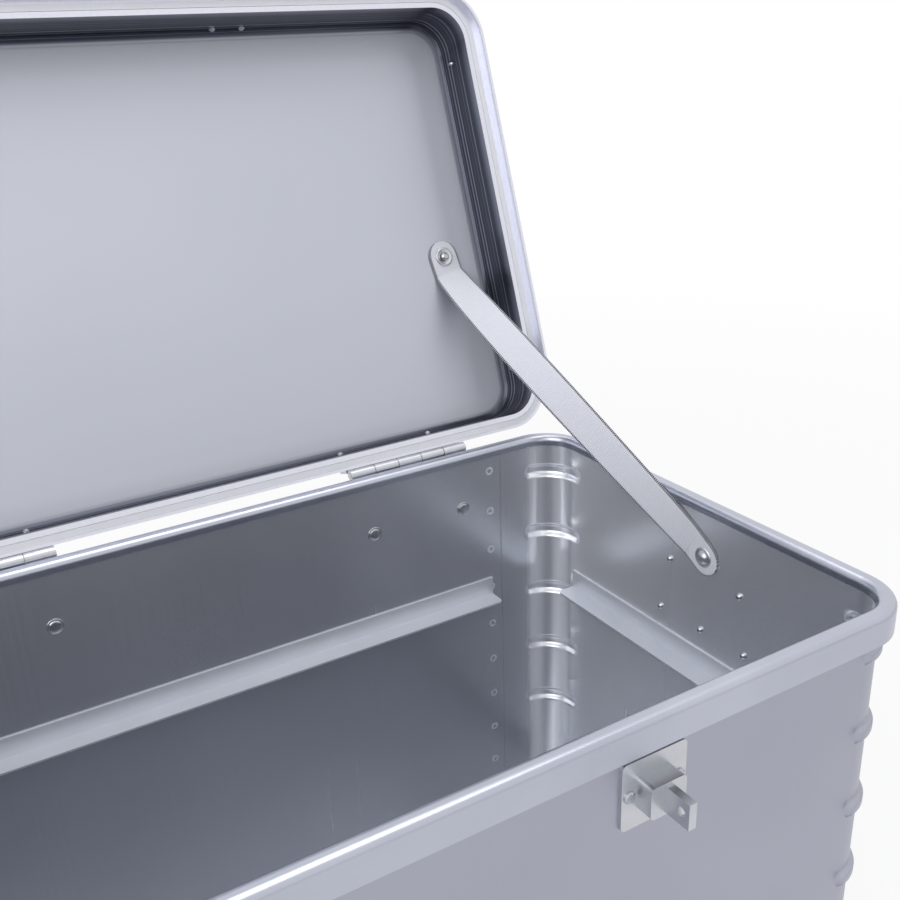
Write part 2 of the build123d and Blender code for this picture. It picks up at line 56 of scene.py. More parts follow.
# Corner beads, pressed outwards and counted from the top
BEADS = 5
BEAD_PITCH = 0.0563
BEAD_TOP_MIDDLE = 0.3185
BEAD_HALF_HEIGHT = 0.0065
BEAD_DEPTH = 0.0034
BEAD_STEEPNESS = 1.5
BEAD_ON_LONG_WALL = 0.002
BEAD_ON_SHORT_WALL = 0.009

# Rows and columns of the body's grid
EDGE_ROW = 0.0004
LOW_ROW = 0.03
CORNER_STEPS = 30
BEAD_ROWS = 17
BEAD_ROWS_REACH = 1.25 * BEAD_HALF_HEIGHT
DENSE_COLUMNS = 0.05
LONG_WALL_COLUMN = 0.248

# Lid, open by LID_TURN about the hinge axis
HINGE_BEHIND_WALL = 0.0145
HINGE_Y = INNER_DEPTH / 2 + HINGE_BEHIND_WALL
LID_TURN = np.radians(109)
LID_DEPTH = 0.046
LID_EDGE = 0.0075
LID_GAP = 0.0006
LID_UP = np.array([0, np.sin(LID_TURN), np.cos(LID_TURN)])
LID_BACK = np.array([0, np.cos(LID_TURN), -np.sin(LID_TURN)])
HINGE = np.array([0, HINGE_Y, RIM_HEIGHT])
RIDGE_OUT = 0.0068
RIDGE_UP = LID_GAP + 0.0001
RIDGE_HALF_WIDTH = 0.0009
RIDGE_HALF_HEIGHT = 0.0004
RIDGE_SECTION_STEPS = 12
RIDGE_CORNER_STEPS = 16

# Lid straps
STRAP_WIDTH = 0.028
STRAP_SHEET = 0.0016
STRAP_SEAT = 0.0003
STRAP_WALL_SPOT = (-0.012, 0.308)
STRAP_LID_SPOT = (0.260, 0.1604)
STRAP_EASE = 0.03
STRAP_CURVE_STEPS = 420
STRAP_TAB_STEPS = 28
STRAP_SECTION_STEPS = 40
STRAP_SQUARENESS = 0.55
STRAP_LEAST_WIDTH = 0.0001
RIB_PITCH = 0.0016
RIB_SWELL = 0.10
YARNS = 22.0
STITCH_RIB = (0.25, 0.45)
STITCH_EDGE = (0.436, 0.446)

# Marks on the inside of the rear wall, with (full, gone) distances of their soft edges
REAR_WALL_Y = INNER_DEPTH / 2 - 0.004
LAP_SEAM_X = 0.2425
WELD_X = 0.232
WELD_TOP = 0.3292
WELD_BOTTOM = 0.03
WELD_PITCH = 0.0362
WELD_RING = 0.0027
WELD_RING_EDGE = (0.0003, 0.0011)
WELD_MIDDLE_EDGE = (0.0008, 0.0022)
LAP_SEAM_EDGE = (0.0002, 0.0006)

# Painted reflection: light and dark upright bands round the corners, along |x| - |y|
REFLECTION_BAND_START = 0.098
REFLECTION_BAND_PITCH = 0.031
BAND_FADE = 0.005

# Ranges over which the finishes go from one shade to another; these are painted light and shade
RIGHT_WALL_X = (0.250, 0.300)
RIGHT_WALL_Y = (-0.10, 0.13)
CORNER_Z = (0.05, 0.32)
LID_WALL_OUT = (-LID_EDGE, -0.6 * LID_EDGE)
LID_EDGE_HIGHLIGHT_OUT = (-0.045, -0.012)
LID_RECESS_OUT = -0.0006
LID_RECESS_DEPTH = 0.001
LID_RECESS_SHADE = (0.001, 0.012)

# Fasteners: places of the hinge rivets on the rear wall, and profiles as (radius, height) in mm
HINGE_X = 0.1642
HINGE_RIVET_APART = 0.0825
HINGE_RIVET_Z = 0.302
HINGE_LEAF = 0.0025
RIVET_TURNS = 28
STUD_TURNS = 48
MM_PER_METRE = 1000
POLE_MERGE = 1e-7
FLUSH_RIVET = [
    (0, 0.9), (3.4, 0.9), (4.0, 0.7), (4.4, 0.1), (4.7, 0),
    (5.0, 0.3), (5.5, 0.45), (6.0, 0.1), (6.0, -0.3), (0, -0.3),
]
DOME = [(0, 1.6), (1.3, 1.5), (2.5, 1.1), (3.3, 0.5), (3.6, 0), (3.6, -0.2), (0, -0.2)]
STRAP_STUD = [
    (0, 3.2), (1.8, 3.05), (3.4, 2.4), (4.4, 1.5), (4.9, 0.9),
    (6.9, 0.8), (7.7, 0.4), (7.9, 0), (7.9, -0.2), (0, -0.2),
]
WASHER = [(0, 0.8), (5.6, 0.8), (6.2, 1.1), (7.0, 1.4), (7.7, 1.1), (8.0, 0.5), (8.0, -0.2), (0, -0.2)]

# Heights of bump in metres, and how far noise is squeezed across its streaks
FINE_BUMP = 0.00002
WELD_BUMP = 0.00012
SAND_BUMP = 0.00012
GRIP_BUMP = 0.00006
WEAVE_BUMP = 0.0002
STREAKS_ALONG_X = (5, 700, 700)
STREAKS_ALONG_Z = (500, 500, 6)
DRAWN_LINES = 350.0
LID_DRAWN_LINES = 420.0

# Studio and camera; the camera is solved from the photograph's straight edges
WHITE = (1, 1, 1, 1)
FLOOR_COLOUR = (0.86, 0.86, 0.87, 1)
FLOOR_REACH = 60.0
FLOOR_FADE = (0.9, 2.6)
FLOOR_NEAR = 0.75
SOFT_STRENGTH = 0.75
CAMERA_PLACE = (-0.2133, -0.5156, 0.6743)
CAMERA_AZIMUTH = -30.674
CAMERA_ELEVATION = 21.646
CAMERA_ROLL = -2.0575
CAMERA_LENS = 42.815
CAMERA_SENSOR = 36
CAMERA_NEAR = 0.01


def lid_point(x, reach, depth):
    """A place in the lid: across, forward from the hinge axis, and up into the pan."""
    return HINGE + np.array([x, 0, 0]) - LID_BACK * reach + LID_UP * depth


# Shader nodes
class Value:
    """Wraps an output socket, so that shader maths reads as plain expressions."""

    def __init__(self, nodes, socket):
        self.nodes = nodes
        self.socket = socket

    def __add__(self, other):
        return self.nodes.math("ADD", self, other)

    __radd__ = __add__

    def __sub__(self, other):
        return self.nodes.math("SUBTRACT", self, other)

    def __rsub__(self, other):
        return self.nodes.math("SUBTRACT", other, self)

    def __mul__(self, other):
        return self.nodes.math("MULTIPLY", self, other)

    __rmul__ = __mul__

    def __pow__(self, other):
        return self.nodes.math("POWER", self, other)

    def __gt__(self, other):
        return self.nodes.math("GREATER_THAN", self, other)

    def __lt__(self, other):
        return self.nodes.math("LESS_THAN", self, other)

    def __mod__(self, other):
        return self.nodes.math("FLOORED_MODULO", self, other)

    def __abs__(self):
        return self.nodes.math("ABSOLUTE", self)

    def sine(self):
        return self.nodes.math("SINE", self)

    def at_least(self, low):
        return self.nodes.math("MAXIMUM", self, low)

    def clamped(self):
        return self.nodes.math("ADD", self, 0.0, clamp=True)

    def ramp(self, low, high, to_low=0.0, to_high=1.0):
        """Goes smoothly from to_low to to_high as the value goes from low to high."""
        values = {"Value": self, "From Min": low, "From Max": high, "To Min": to_low, "To Max": to_high}
        return self.nodes.node("ShaderNodeMapRange", {"interpolation_type": "SMOOTHSTEP"}, values)


class Nodes:
    """A node tree of a material or of the world."""

    def __init__(self, tree):
        self.tree = tree

    def node(self, kind, settings, values, output=0):
        """Adds a node, sets its settings, then fills or links its sockets, and gives one output."""
        made = self.tree.nodes.new(kind)
        for name, setting in settings.items():
            setattr(made, name, setting)
        for name, value in values.items():
            self.put(made.inputs[name], value)
        return Value(self, made.outputs[output])

    def put(self, socket, value):
        """Links a Value to a socket, or sets the socket to a constant."""
        if isinstance(value, Value):
            self.tree.links.new(value.socket, socket)
        else:
            socket.default_value = value

    def math(self, operation, *values, clamp=False):
        settings = {"operation": operation, "use_clamp": clamp}
        return self.node("ShaderNodeMath", settings, dict(enumerate(values)))


class Finish(Nodes):
    """One material with its Principled shader."""

    def __init__(self, name):
        self.material = bpy.data.materials.new(name)
        self.material.use_nodes = True
        super().__init__(self.material.node_tree)
        self.shader = self.tree.nodes["Principled BSDF"]
        self.place = self.node("ShaderNodeTexCoord", {}, {}, output="Object")

    def set(self, **values):
        """Sets or links the shader's sockets, named with underscores for spaces."""
        for name, value in values.items():
            self.put(self.shader.inputs[name.replace("_", " ")], value)

    def axis(self, letter, vector=None):
        """One component of a vector, the object's own coordinates if none is given."""
        return self.node("ShaderNodeSeparateXYZ", {}, {0: vector or self.place}, output=letter)

    def along(self, direction, start):
        """Distance from a start point along a direction."""
        values = {0: self.place, 1: tuple(direction)}
        shadow = self.node("ShaderNodeVectorMath", {"operation": "DOT_PRODUCT"}, values, output="Value")
        return shadow - float(np.dot(start, direction))

    def noise(self, scale, detail=3.0, roughness=0.5, stretch=None):
        """Noise of the object's coordinates, each axis scaled by its stretch if one is given."""
        place = self.place
        if stretch:
            place = self.node("ShaderNodeMapping", {}, {"Vector": place, "Scale": stretch})
        values = {"Vector": place, "Scale": scale, "Detail": detail, "Roughness": roughness}
        return self.node("ShaderNodeTexNoise", {}, values)

    def drawn_lines(self, across, scale):
        """Noise of one value, which gives lines that run straight."""
        values = {"W": across, "Scale": scale, "Detail": 2.0}
        return self.node("ShaderNodeTexNoise", {"noise_dimensions": "1D"}, values)

    def tint(self, factor, low, high):
        """Colour between two colours, or colour values, by a factor."""
        ends = [colour if isinstance(colour, Value) else (*colour, 1) for colour in (low, high)]
        values = {0: factor, 6: ends[0], 7: ends[1]}
        return self.node("ShaderNodeMix", {"data_type": "RGBA"}, values, output=2)

    def bump(self, height, distance):
        return self.node("ShaderNodeBump", {}, {"Height": height, "Distance": distance})


# Finishes
def rolled_sheet():
    """Rolled aluminium sheet: fine streaks along X, soft smudges, uneven sheen."""
    m = Finish("rolled_sheet")
    streaks = m.noise(1.0, 2.0, stretch=STREAKS_ALONG_X)
    clouds = m.noise(4.0, stretch=(1, 1.6, 1.6))
    m.set(Metallic=1.0, Base_Color=m.tint(clouds, (0.40, 0.42, 0.475), (0.50, 0.52, 0.58)))
    m.set(Roughness=0.24 + 0.08 * streaks + 0.08 * clouds)
    m.set(Normal=m.bump(streaks, FINE_BUMP))
    return m.material


def lid_depth_and_out(m):
    """Depth in the lid, and distance outwards from its inner wall face, round the corners too."""
    across = (abs(m.axis("X")) - FLAT_X).at_least(0.0)
    reach = m.along(-LID_BACK, HINGE) - HINGE_Y
    forward = (abs(reach) - FLAT_Y).at_least(0.0)
    out = (across ** 2.0 + forward ** 2.0) ** 0.5 - CORNER_RADIUS
    return m.along(LID_UP, HINGE), out


def lid_sheet():
    """Lid sheet: rolled panel with a painted highlight towards its edge, and a side wall darkened with
    painted shade and reflection, with lighter drawn lines.
    """
    m = Finish("lid_sheet")
    depth, out = lid_depth_and_out(m)
    round_out = (out + LID_EDGE).at_least(0.0)
    round_up = (depth - (LID_DEPTH - LID_EDGE)).at_least(0.0)
    inner = (round_out ** 2.0 + round_up ** 2.0) ** 0.5 < LID_EDGE + WALL / 2
    wall = out.ramp(*LID_WALL_OUT) * inner
    lines = m.drawn_lines(depth, LID_DRAWN_LINES).ramp(0.52, 0.72)
    streaks = m.noise(1.0, 2.0, stretch=STREAKS_ALONG_X)
    clouds = m.noise(3.0, 2.0, stretch=(1, 1.8, 1.8))
    # Painted highlight: the panel is lighter, less metallic and rougher towards its edge, but not on the
    # side wall
    painted_edge_highlight = out.ramp(*LID_EDGE_HIGHLIGHT_OUT) * inner
    panel_painted_highlight = painted_edge_highlight * (1 - wall)
    shade = (0.25 + 0.5 * clouds + 0.06 * streaks + 0.5 * painted_edge_highlight).clamped()
    panel = m.tint(shade, (0.42, 0.445, 0.51), (0.57, 0.59, 0.66))
    # Painted shade and reflection: the side wall is dark, with lighter drawn lines in it
    side = m.tint(lines, (0.075, 0.08, 0.105), (0.34, 0.36, 0.41))
    m.set(Metallic=1.0 - 0.75 * panel_painted_highlight, Base_Color=m.tint(wall, panel, side))
    m.set(Roughness=0.26 + 0.06 * streaks + 0.08 * clouds + 0.2 * panel_painted_highlight)
    m.set(Normal=m.bump(streaks + lines * wall, FINE_BUMP))
    return m.material


def inner_sheet():
    """Inside of the body: upright drawn lines, a right wall and corners with painted light, painted
    reflection bands round the corners, and weld rings and a lap seam at the rear.
    """
    m = Finish("inner_sheet")
    x = m.axis("X")
    y = m.axis("Y")
    z = m.axis("Z")
    rear = y > REAR_WALL_Y
    up = abs((WELD_TOP + WELD_PITCH / 2 - z) % WELD_PITCH - WELD_PITCH / 2)
    apart = ((x - WELD_X) ** 2.0 + up ** 2.0) ** 0.5
    ring = abs(apart - WELD_RING).ramp(*WELD_RING_EDGE, 1.0, 0.0) * rear * (z > WELD_BOTTOM)
    middle = apart.ramp(*WELD_MIDDLE_EDGE, 1.0, 0.0) * rear
    seam = abs(x - LAP_SEAM_X).ramp(*LAP_SEAM_EDGE, 1.0, 0.0) * rear
    lines = m.drawn_lines(x - y, DRAWN_LINES)
    clouds = m.noise(6.0)
    # Painted light: the right wall is lighter, and towards its rear also less metallic, so it looks
    # brighter
    right = x.ramp(*RIGHT_WALL_X)
    # Painted light in the corners, lighter and less metallic low down, and painted reflection bands
    # round them
    corner_x = abs(x).ramp(FLAT_X - BAND_FADE, FLAT_X + BAND_FADE)
    corner_y = abs(y).ramp(FLAT_Y - BAND_FADE, FLAT_Y + BAND_FADE)
    corner = corner_x * corner_y
    round_place = (abs(x) - abs(y) - REFLECTION_BAND_START) * (2 * np.pi / REFLECTION_BAND_PITCH)
    band = round_place.sine() * corner
    base = 0.13 + 0.3 * clouds + 0.08 * lines
    shade = (base + 0.5 * right + 0.25 * corner + 0.4 * band + 0.9 * ring - 0.5 * seam).clamped()
    right_rear_painted_light = right * y.ramp(*RIGHT_WALL_Y)
    low_corner_painted_light = (corner + band) * z.ramp(*CORNER_Z, 1.0, 0.15)
    m.set(Metallic=0.84 - 0.20 * right_rear_painted_light - 0.22 * low_corner_painted_light)
    m.set(Base_Color=m.tint(shade, (0.46, 0.475, 0.515), (0.88, 0.90, 0.95)))
    m.set(Roughness=0.21 + 0.03 * lines + 0.06 * clouds + 0.2 * ring - 0.06 * corner)
    m.set(Normal=m.bump(ring - middle * 0.6 - seam, WELD_BUMP))
    return m.material


def outer_sheet():
    """Outside of the body: satin sheet with faint upright rolling lines."""
    m = Finish("outer_sheet")
    streaks = m.noise(1.0, 2.0, stretch=STREAKS_ALONG_Z)
    clouds = m.noise(5.0)
    m.set(Metallic=1.0, Base_Color=m.tint(clouds, (0.36, 0.375, 0.44), (0.46, 0.475, 0.54)))
    m.set(Roughness=0.30 + 0.08 * streaks + 0.08 * clouds)
    m.set(Normal=m.bump(streaks, FINE_BUMP))
    return m.material


def satin_profile():
    """Anodised rim profile: even satin with a faint grain."""
    m = Finish("satin_profile")
    grain = m.noise(420.0, 2.0)
    clouds = m.noise(14.0)
    m.set(Metallic=1.0, Base_Color=m.tint(clouds, (0.44, 0.46, 0.535), (0.56, 0.58, 0.66)))
    m.set(Roughness=0.24 + 0.07 * grain + 0.05 * clouds)
    m.set(Normal=m.bump(grain, FINE_BUMP))
    return m.material


def lid_profile():
    """Lid's rim profile: bright satin outside, with painted shade going to dark inside the recess."""
    m = Finish("lid_profile")
    depth, out = lid_depth_and_out(m)
    recess = (out < LID_RECESS_OUT) * (depth > LID_RECESS_DEPTH)
    # Painted shade: the recess goes from grey to dark with depth
    shade = depth.ramp(*LID_RECESS_SHADE, 0.8, 0.0)
    grain = m.noise(420.0, 2.0)
    bright = m.tint(grain, (0.66, 0.67, 0.745), (0.76, 0.775, 0.85))
    dark = m.tint(shade, (0.06, 0.065, 0.09), (0.30, 0.31, 0.36))
    m.set(Metallic=1.0, Base_Color=m.tint(recess, bright, dark))
    m.set(Roughness=0.26 + 0.08 * grain)
    m.set(Normal=m.bump(grain, FINE_BUMP))
    return m.material


def ridge_painted_highlight():
    """Ridge along the lid's rim: bright near-white metal, a painted highlight."""
    m = Finish("ridge_painted_highlight")
    grain = m.noise(300.0, 2.0)
    # Painted highlight: the near-white colour
    m.set(Metallic=0.3, Base_Color=m.tint(grain, (0.92, 0.92, 0.94), (0.98, 0.98, 0.99)))
    m.set(Roughness=0.12 + 0.10 * grain)
    return m.material


def ledge_metal():
    """Ledge profile: pale matte anodising."""
    m = Finish("ledge_metal")
    grain = m.noise(500.0, 2.0)
    clouds = m.noise(20.0)
    m.set(Metallic=0.75, Base_Color=m.tint(clouds, (0.66, 0.68, 0.735), (0.74, 0.76, 0.81)))
    m.set(Roughness=0.42 + 0.08 * grain)
    return m.material


def cast_metal():
    """Cast corner: matte with a fine sand texture."""
    m = Finish("cast_metal")
    grain = m.noise(900.0)
    clouds = m.noise(25.0)
    m.set(Metallic=0.9, Base_Color=m.tint(clouds, (0.50, 0.51, 0.54), (0.60, 0.61, 0.64)))
    m.set(Roughness=0.48 + 0.12 * grain)
    m.set(Normal=m.bump(grain, SAND_BUMP))
    return m.material


def zinc_steel():
    """Zinc-plated steel: bright, slightly clouded."""
    m = Finish("zinc_steel")
    clouds = m.noise(60.0, 4.0, 0.6)
    m.set(Metallic=1.0, Base_Color=m.tint(clouds, (0.50, 0.52, 0.55), (0.66, 0.67, 0.70)))
    m.set(Roughness=0.26 + 0.14 * clouds)
    return m.material


def rivet_metal():
    """Bare rivet heads: duller and a little darker than the sheet."""
    m = Finish("rivet_metal")
    clouds = m.noise(300.0, 2.0)
    m.set(Metallic=1.0, Base_Color=m.tint(clouds, (0.40, 0.41, 0.44), (0.56, 0.57, 0.60)))
    m.set(Roughness=0.24 + 0.10 * clouds)
    return m.material


def pale_rubber():
    """Seal rubber: pale grey with a soft sheen."""
    m = Finish("pale_rubber")
    clouds = m.noise(80.0)
    m.set(Base_Color=m.tint(clouds, (0.66, 0.67, 0.73), (0.74, 0.75, 0.80)))
    m.set(Roughness=0.46 + 0.12 * clouds)
    return m.material


def grip_plastic():
    """Grip: moulded black plastic with a fine grain."""
    m = Finish("grip_plastic")
    grain = m.noise(1400.0, 2.0)
    m.set(Base_Color=m.tint(m.noise(50.0), (0.014, 0.014, 0.015), (0.024, 0.024, 0.026)))
    m.set(Roughness=0.42 + 0.10 * grain)
    m.set(Normal=m.bump(grain, GRIP_BUMP))
    return m.material


def strap_webbing():
    """Woven webbing by the strap's own map: U runs along in ribs, V across from edge to edge."""
    m = Finish("strap_webbing")
    weave = m.node("ShaderNodeUVMap", {"uv_map": "weave"}, {})
    across = m.axis("Y", weave)
    rib = abs(m.axis("X", weave) % 1.0 - 0.5) * 2.0
    yarn = abs((across * YARNS) % 1.0 - 0.5) * 2.0
    stitch = rib.ramp(*STITCH_RIB) * abs(across - 0.5).ramp(*STITCH_EDGE)
    # Painted shade: the webbing is lighter on its rib and yarn crests, darker between them
    light = (0.35 + 0.5 * rib + 0.15 * yarn).clamped()
    pale = m.tint(light, (0.44, 0.455, 0.52), (0.80, 0.815, 0.89))
    m.set(Base_Color=m.tint(stitch, pale, (0.03, 0.03, 0.04)), Roughness=0.85, Sheen_Weight=0.3)
    m.set(Normal=m.bump(rib * 0.6 + yarn * 0.4, WEAVE_BUMP))
    return m.material


# Meshes from grids of points
def grid_piece(name, points, materials, close_u=False, close_v=False, smooth=True, maps=None):
    """Mesh of one or more grids of points, rows by columns, closed along either way if asked."""
    grids = points if points.ndim == 4 else points[None]
    count, rows, columns = grids.shape[:3]
    index = np.arange(rows * columns).reshape(rows, columns)
    if close_u:
        index = np.vstack([index, index[:1]])
    if close_v:
        index = np.hstack([index, index[:, :1]])
    quads = np.stack([index[:-1, :-1], index[1:, :-1], index[1:, 1:], index[:-1, 1:]], -1).reshape(-1, 4)
    quads = (quads[None] + (np.arange(count) * rows * columns)[:, None, None]).reshape(-1, 4)
    mesh = bpy.data.meshes.new(name)
    mesh.from_pydata(grids.reshape(-1, 3).tolist(), [], quads.tolist())
    mesh.polygons.foreach_set("use_smooth", np.full(len(mesh.polygons), smooth))
    if maps is not None:
        corner = np.empty(len(mesh.loops), np.int32)
        mesh.loops.foreach_get("vertex_index", corner)
        layer = mesh.uv_layers.new(name="weave")
        layer.data.foreach_set("uv", maps.reshape(-1, 2)[corner].ravel())
    for material in materials:
        mesh.materials.append(material)
    piece = bpy.data.objects.new(name, mesh)
    bpy.context.collection.objects.link(piece)
    return piece


def face_outwards(piece):
    """Merges doubled points at poles, then turns the faces outwards."""
    work = bmesh.new()
    work.from_mesh(piece.data)
    bmesh.ops.remove_doubles(work, verts=work.verts, dist=POLE_MERGE)
    bmesh.ops.recalc_face_normals(work, faces=work.faces)
    work.to_mesh(piece.data)
    work.free()


def turned(name, profile, spots, axis, material, turns=RIVET_TURNS):
    """Turned pieces: each (radius, height) of a profile in mm goes round an axis through each spot.

    A point is the spot, plus the radius times a turning unit vector, plus the height times the axis.
    """
    profile = np.array(profile) / MM_PER_METRE
    axis = np.array(axis, float)
    any_slant = [0.31, 0.52, 0.79]
    side = np.cross(axis, any_slant)
    side /= np.linalg.norm(side)
    angle = np.linspace(0, 2 * np.pi, turns, endpoint=False)[:, None]
    ring = np.cos(angle) * side + np.sin(angle) * np.cross(axis, side)
    shape = profile[:, :1, None] * ring[None] + profile[:, 1:, None] * axis
    piece = grid_piece(name, np.array(spots)[:, None, None] + shape[None], [material], close_v=True)
    face_outwards(piece)
    return piece


def wall_loop(steps):
    """Points, outward directions and distances past the corner arc, round a rounded rectangle.

    Each quarter is a stretch of a short wall, an arc of the corner radius, then a stretch of a
    long wall, and straight runs join the quarters. The distance counts from the arc's end along
    either wall, and is -1 on the arc. A last array is 1 on the long walls and 0 elsewhere.
    """
    near = np.linspace(0, DENSE_COLUMNS, steps)
    side = near[::-1]
    back = np.append(near, LONG_WALL_COLUMN)
    angle = np.linspace(0, np.pi / 2, steps)[1:-1]
    round_way = np.stack([np.cos(angle), np.sin(angle)], -1)
    points = np.concatenate([
        np.stack([np.full(len(side), FLAT_X + CORNER_RADIUS), FLAT_Y - side], -1),
        np.array([FLAT_X, FLAT_Y]) + CORNER_RADIUS * round_way,
        np.stack([FLAT_X - back, np.full(len(back), FLAT_Y + CORNER_RADIUS)], -1),
    ])
    ways = np.concatenate([
        np.tile([1.0, 0.0], (len(side), 1)),
        round_way,
        np.tile([0.0, 1.0], (len(back), 1)),
    ])
    past = np.concatenate([side, -np.ones(len(angle)), back])
    on_long = np.concatenate([np.zeros(len(side) + len(angle)), np.ones(len(back))])
    parts = []
    for mirror_x, mirror_y, turn in ((1, 1, 1), (-1, 1, -1), (-1, -1, 1), (1, -1, -1)):
        sign = np.array([mirror_x, mirror_y])
        parts.append([values[::turn] for values in (points * sign, ways * sign, past, on_long)])
    return [np.concatenate(columns) for columns in zip(*parts)]


def smooth_step(value):
    """Three times the square less twice the cube, of the value held between 0 and 1."""
    value = np.clip(value, 0, 1)
    return value * value * (3 - 2 * value)


def bead_swell(past, on_long, height):
    """Outward swell: the depth times a smooth step of the steepness times (1 - distance).

    The distance is from the bead's middle line, in half heights, and round its ends.
    """
    middle = BEAD_TOP_MIDDLE - BEAD_PITCH * np.round((BEAD_TOP_MIDDLE - height) / BEAD_PITCH)
    not_above = middle < BEAD_TOP_MIDDLE + BEAD_PITCH / 2
    not_below = middle > BEAD_TOP_MIDDLE - BEAD_PITCH * (BEADS - 0.5)
    rise = (height - middle) / BEAD_HALF_HEIGHT
    reach = np.where(on_long > 0.5, BEAD_ON_LONG_WALL, BEAD_ON_SHORT_WALL)
    beyond = np.maximum(past - (reach - BEAD_HALF_HEIGHT), 0) / BEAD_HALF_HEIGHT
    apart = np.sqrt(rise ** 2 + beyond ** 2)
    return np.where(not_above & not_below, BEAD_DEPTH * smooth_step((1 - apart) * BEAD_STEEPNESS), 0)


def body_skin(outside, inside):
    """The wrapped sheet: for each height, the wall loop moved outwards by the bead swell."""
    points, ways, past, on_long = wall_loop(CORNER_STEPS)
    near_bead = np.linspace(-BEAD_ROWS_REACH, BEAD_ROWS_REACH, BEAD_ROWS)
    rows = [np.array([0, EDGE_ROW, LOW_ROW, WALL_TOP - EDGE_ROW, WALL_TOP])]
    rows += [BEAD_TOP_MIDDLE - BEAD_PITCH * index + near_bead for index in range(BEADS)]
    heights = np.unique(np.concatenate(rows))[:, None]
    swell = bead_swell(past[None], on_long[None], heights)

    def face(out):
        flat = points[None] + ways[None] * (swell + out)[..., None]
        return np.concatenate([flat, np.broadcast_to(heights[..., None], swell.shape + (1,))], -1)

    section = np.concatenate([face(WALL), face(0)[::-1]])
    piece = grid_piece("body_skin", section, [outside, inside], close_u=True, close_v=True)
    row = np.arange(len(piece.data.polygons)) // len(points)
    piece.data.polygons.foreach_set("material_index", (row >= len(heights) - 1).astype(np.int32))
    face_outwards(piece)
    return piece


def lid_ridge(material):
    """Low ridge on the lid's rim face: an ellipse carried round the rim's outline."""
    points, ways = wall_loop(RIDGE_CORNER_STEPS)[:2]
    angle = np.linspace(0, 2 * np.pi, RIDGE_SECTION_STEPS, endpoint=False)[:, None]
    out = RIDGE_OUT + RIDGE_HALF_WIDTH * np.cos(angle)
    rise = RIDGE_UP + RIDGE_HALF_HEIGHT * np.sin(angle)
    flat = points[None] + ways[None] * out[..., None]
    across = flat[..., :1] * np.array([1.0, 0, 0])
    forward = (HINGE_Y + flat[..., 1:]) * -LID_BACK
    section = HINGE + across + forward + rise[..., None] * LID_UP
    piece = grid_piece("lid_rim_ridge", section, [material], close_u=True, close_v=True)
    face_outwards(piece)
    return piece


def strap_ends(sign):
    """Fixing points of a strap, on the wall and on the lid's panel."""
    low = np.array([sign * INNER_WIDTH / 2, *STRAP_WALL_SPOT])
    high = lid_point(sign * STRAP_LID_SPOT[0], STRAP_LID_SPOT[1], LID_DEPTH)
    return low, high


def unit(vectors):
    """Each vector divided by its length."""
    return vectors / np.linalg.norm(vectors, axis=-1, keepdims=True)


def strap_path(sign):
    """Middle line, across direction and face normal of a strap.

    Both round ends lie flat on their faces; between them the middle line is a cubic Bezier curve
    and the face normal turns evenly from the wall's to the panel's.
    """
    low, high = strap_ends(sign)
    low_normal = np.array([-sign, 0, 0.0])
    high_normal = -LID_UP
    pull = unit(high - low)
    low_along = unit(pull - low_normal * (pull @ low_normal))
    high_along = unit(pull - high_normal * (pull @ high_normal))
    lift = STRAP_SEAT + STRAP_SHEET / 2
    half = STRAP_WIDTH / 2
    start = low + low_normal * lift + low_along * half
    end = high + high_normal * lift - high_along * half
    reach = np.linalg.norm(end - start) * STRAP_EASE
    after_start = start + low_along * reach
    before_end = end - high_along * reach
    t = np.linspace(0, 1, STRAP_CURVE_STEPS)[:, None]
    u = 1 - t
    curve = u ** 3 * start + 3 * u ** 2 * t * after_start + 3 * u * t ** 2 * before_end + t ** 3 * end
    normal = low_normal * u + high_normal * t
    tab = np.linspace(-STRAP_WIDTH, 0, STRAP_TAB_STEPS)[:-1, None]
    curve = np.concatenate([start + low_along * tab, curve, end - high_along * tab[::-1]])
    ends = [np.tile(one, (len(tab), 1)) for one in (low_normal, high_normal)]
    normal = np.concatenate([ends[0], normal, ends[1]])
    along = unit(np.gradient(curve, axis=0))
    normal = unit(normal - along * np.sum(normal * along, 1)[:, None])
    return curve, np.cross(normal, along), normal


def strap(name, sign, material):
    """Webbing: a squared oval carried along the strap's path, ribbed by a cosine of the length run.

    The width follows a half circle at either end.
    """
    curve, across, normal = strap_path(sign)
    run = np.concatenate([[0], np.cumsum(np.linalg.norm(np.diff(curve, axis=0), axis=1))])
    half = STRAP_WIDTH / 2
    short = half - np.minimum(np.minimum(run, run[-1] - run), half)
    width = np.sqrt(np.maximum(half ** 2 - short ** 2, STRAP_LEAST_WIDTH ** 2))
    angle = np.linspace(0, 2 * np.pi, STRAP_SECTION_STEPS, endpoint=False)
    flat = np.sign(np.cos(angle)) * np.abs(np.cos(angle)) ** STRAP_SQUARENESS
    thick = np.sign(np.sin(angle)) * np.abs(np.sin(angle)) ** STRAP_SQUARENESS
    rib = 1 + RIB_SWELL * np.cos(2 * np.pi * run / RIB_PITCH)
    points = (
        curve[:, None]
        + across[:, None] * (flat[None] * width[:, None])[..., None]
        + normal[:, None] * (thick[None] * (STRAP_SHEET / 2 * rib)[:, None])[..., None]
    )
    maps = np.stack([
        np.broadcast_to((run / RIB_PITCH)[:, None], points.shape[:2]),
        np.broadcast_to(flat[None] * 0.5 + 0.5, points.shape[:2]),
    ], -1)
    piece = grid_piece(name, points, [material], close_v=True, maps=maps)
    face_outwards(piece)
    return piece


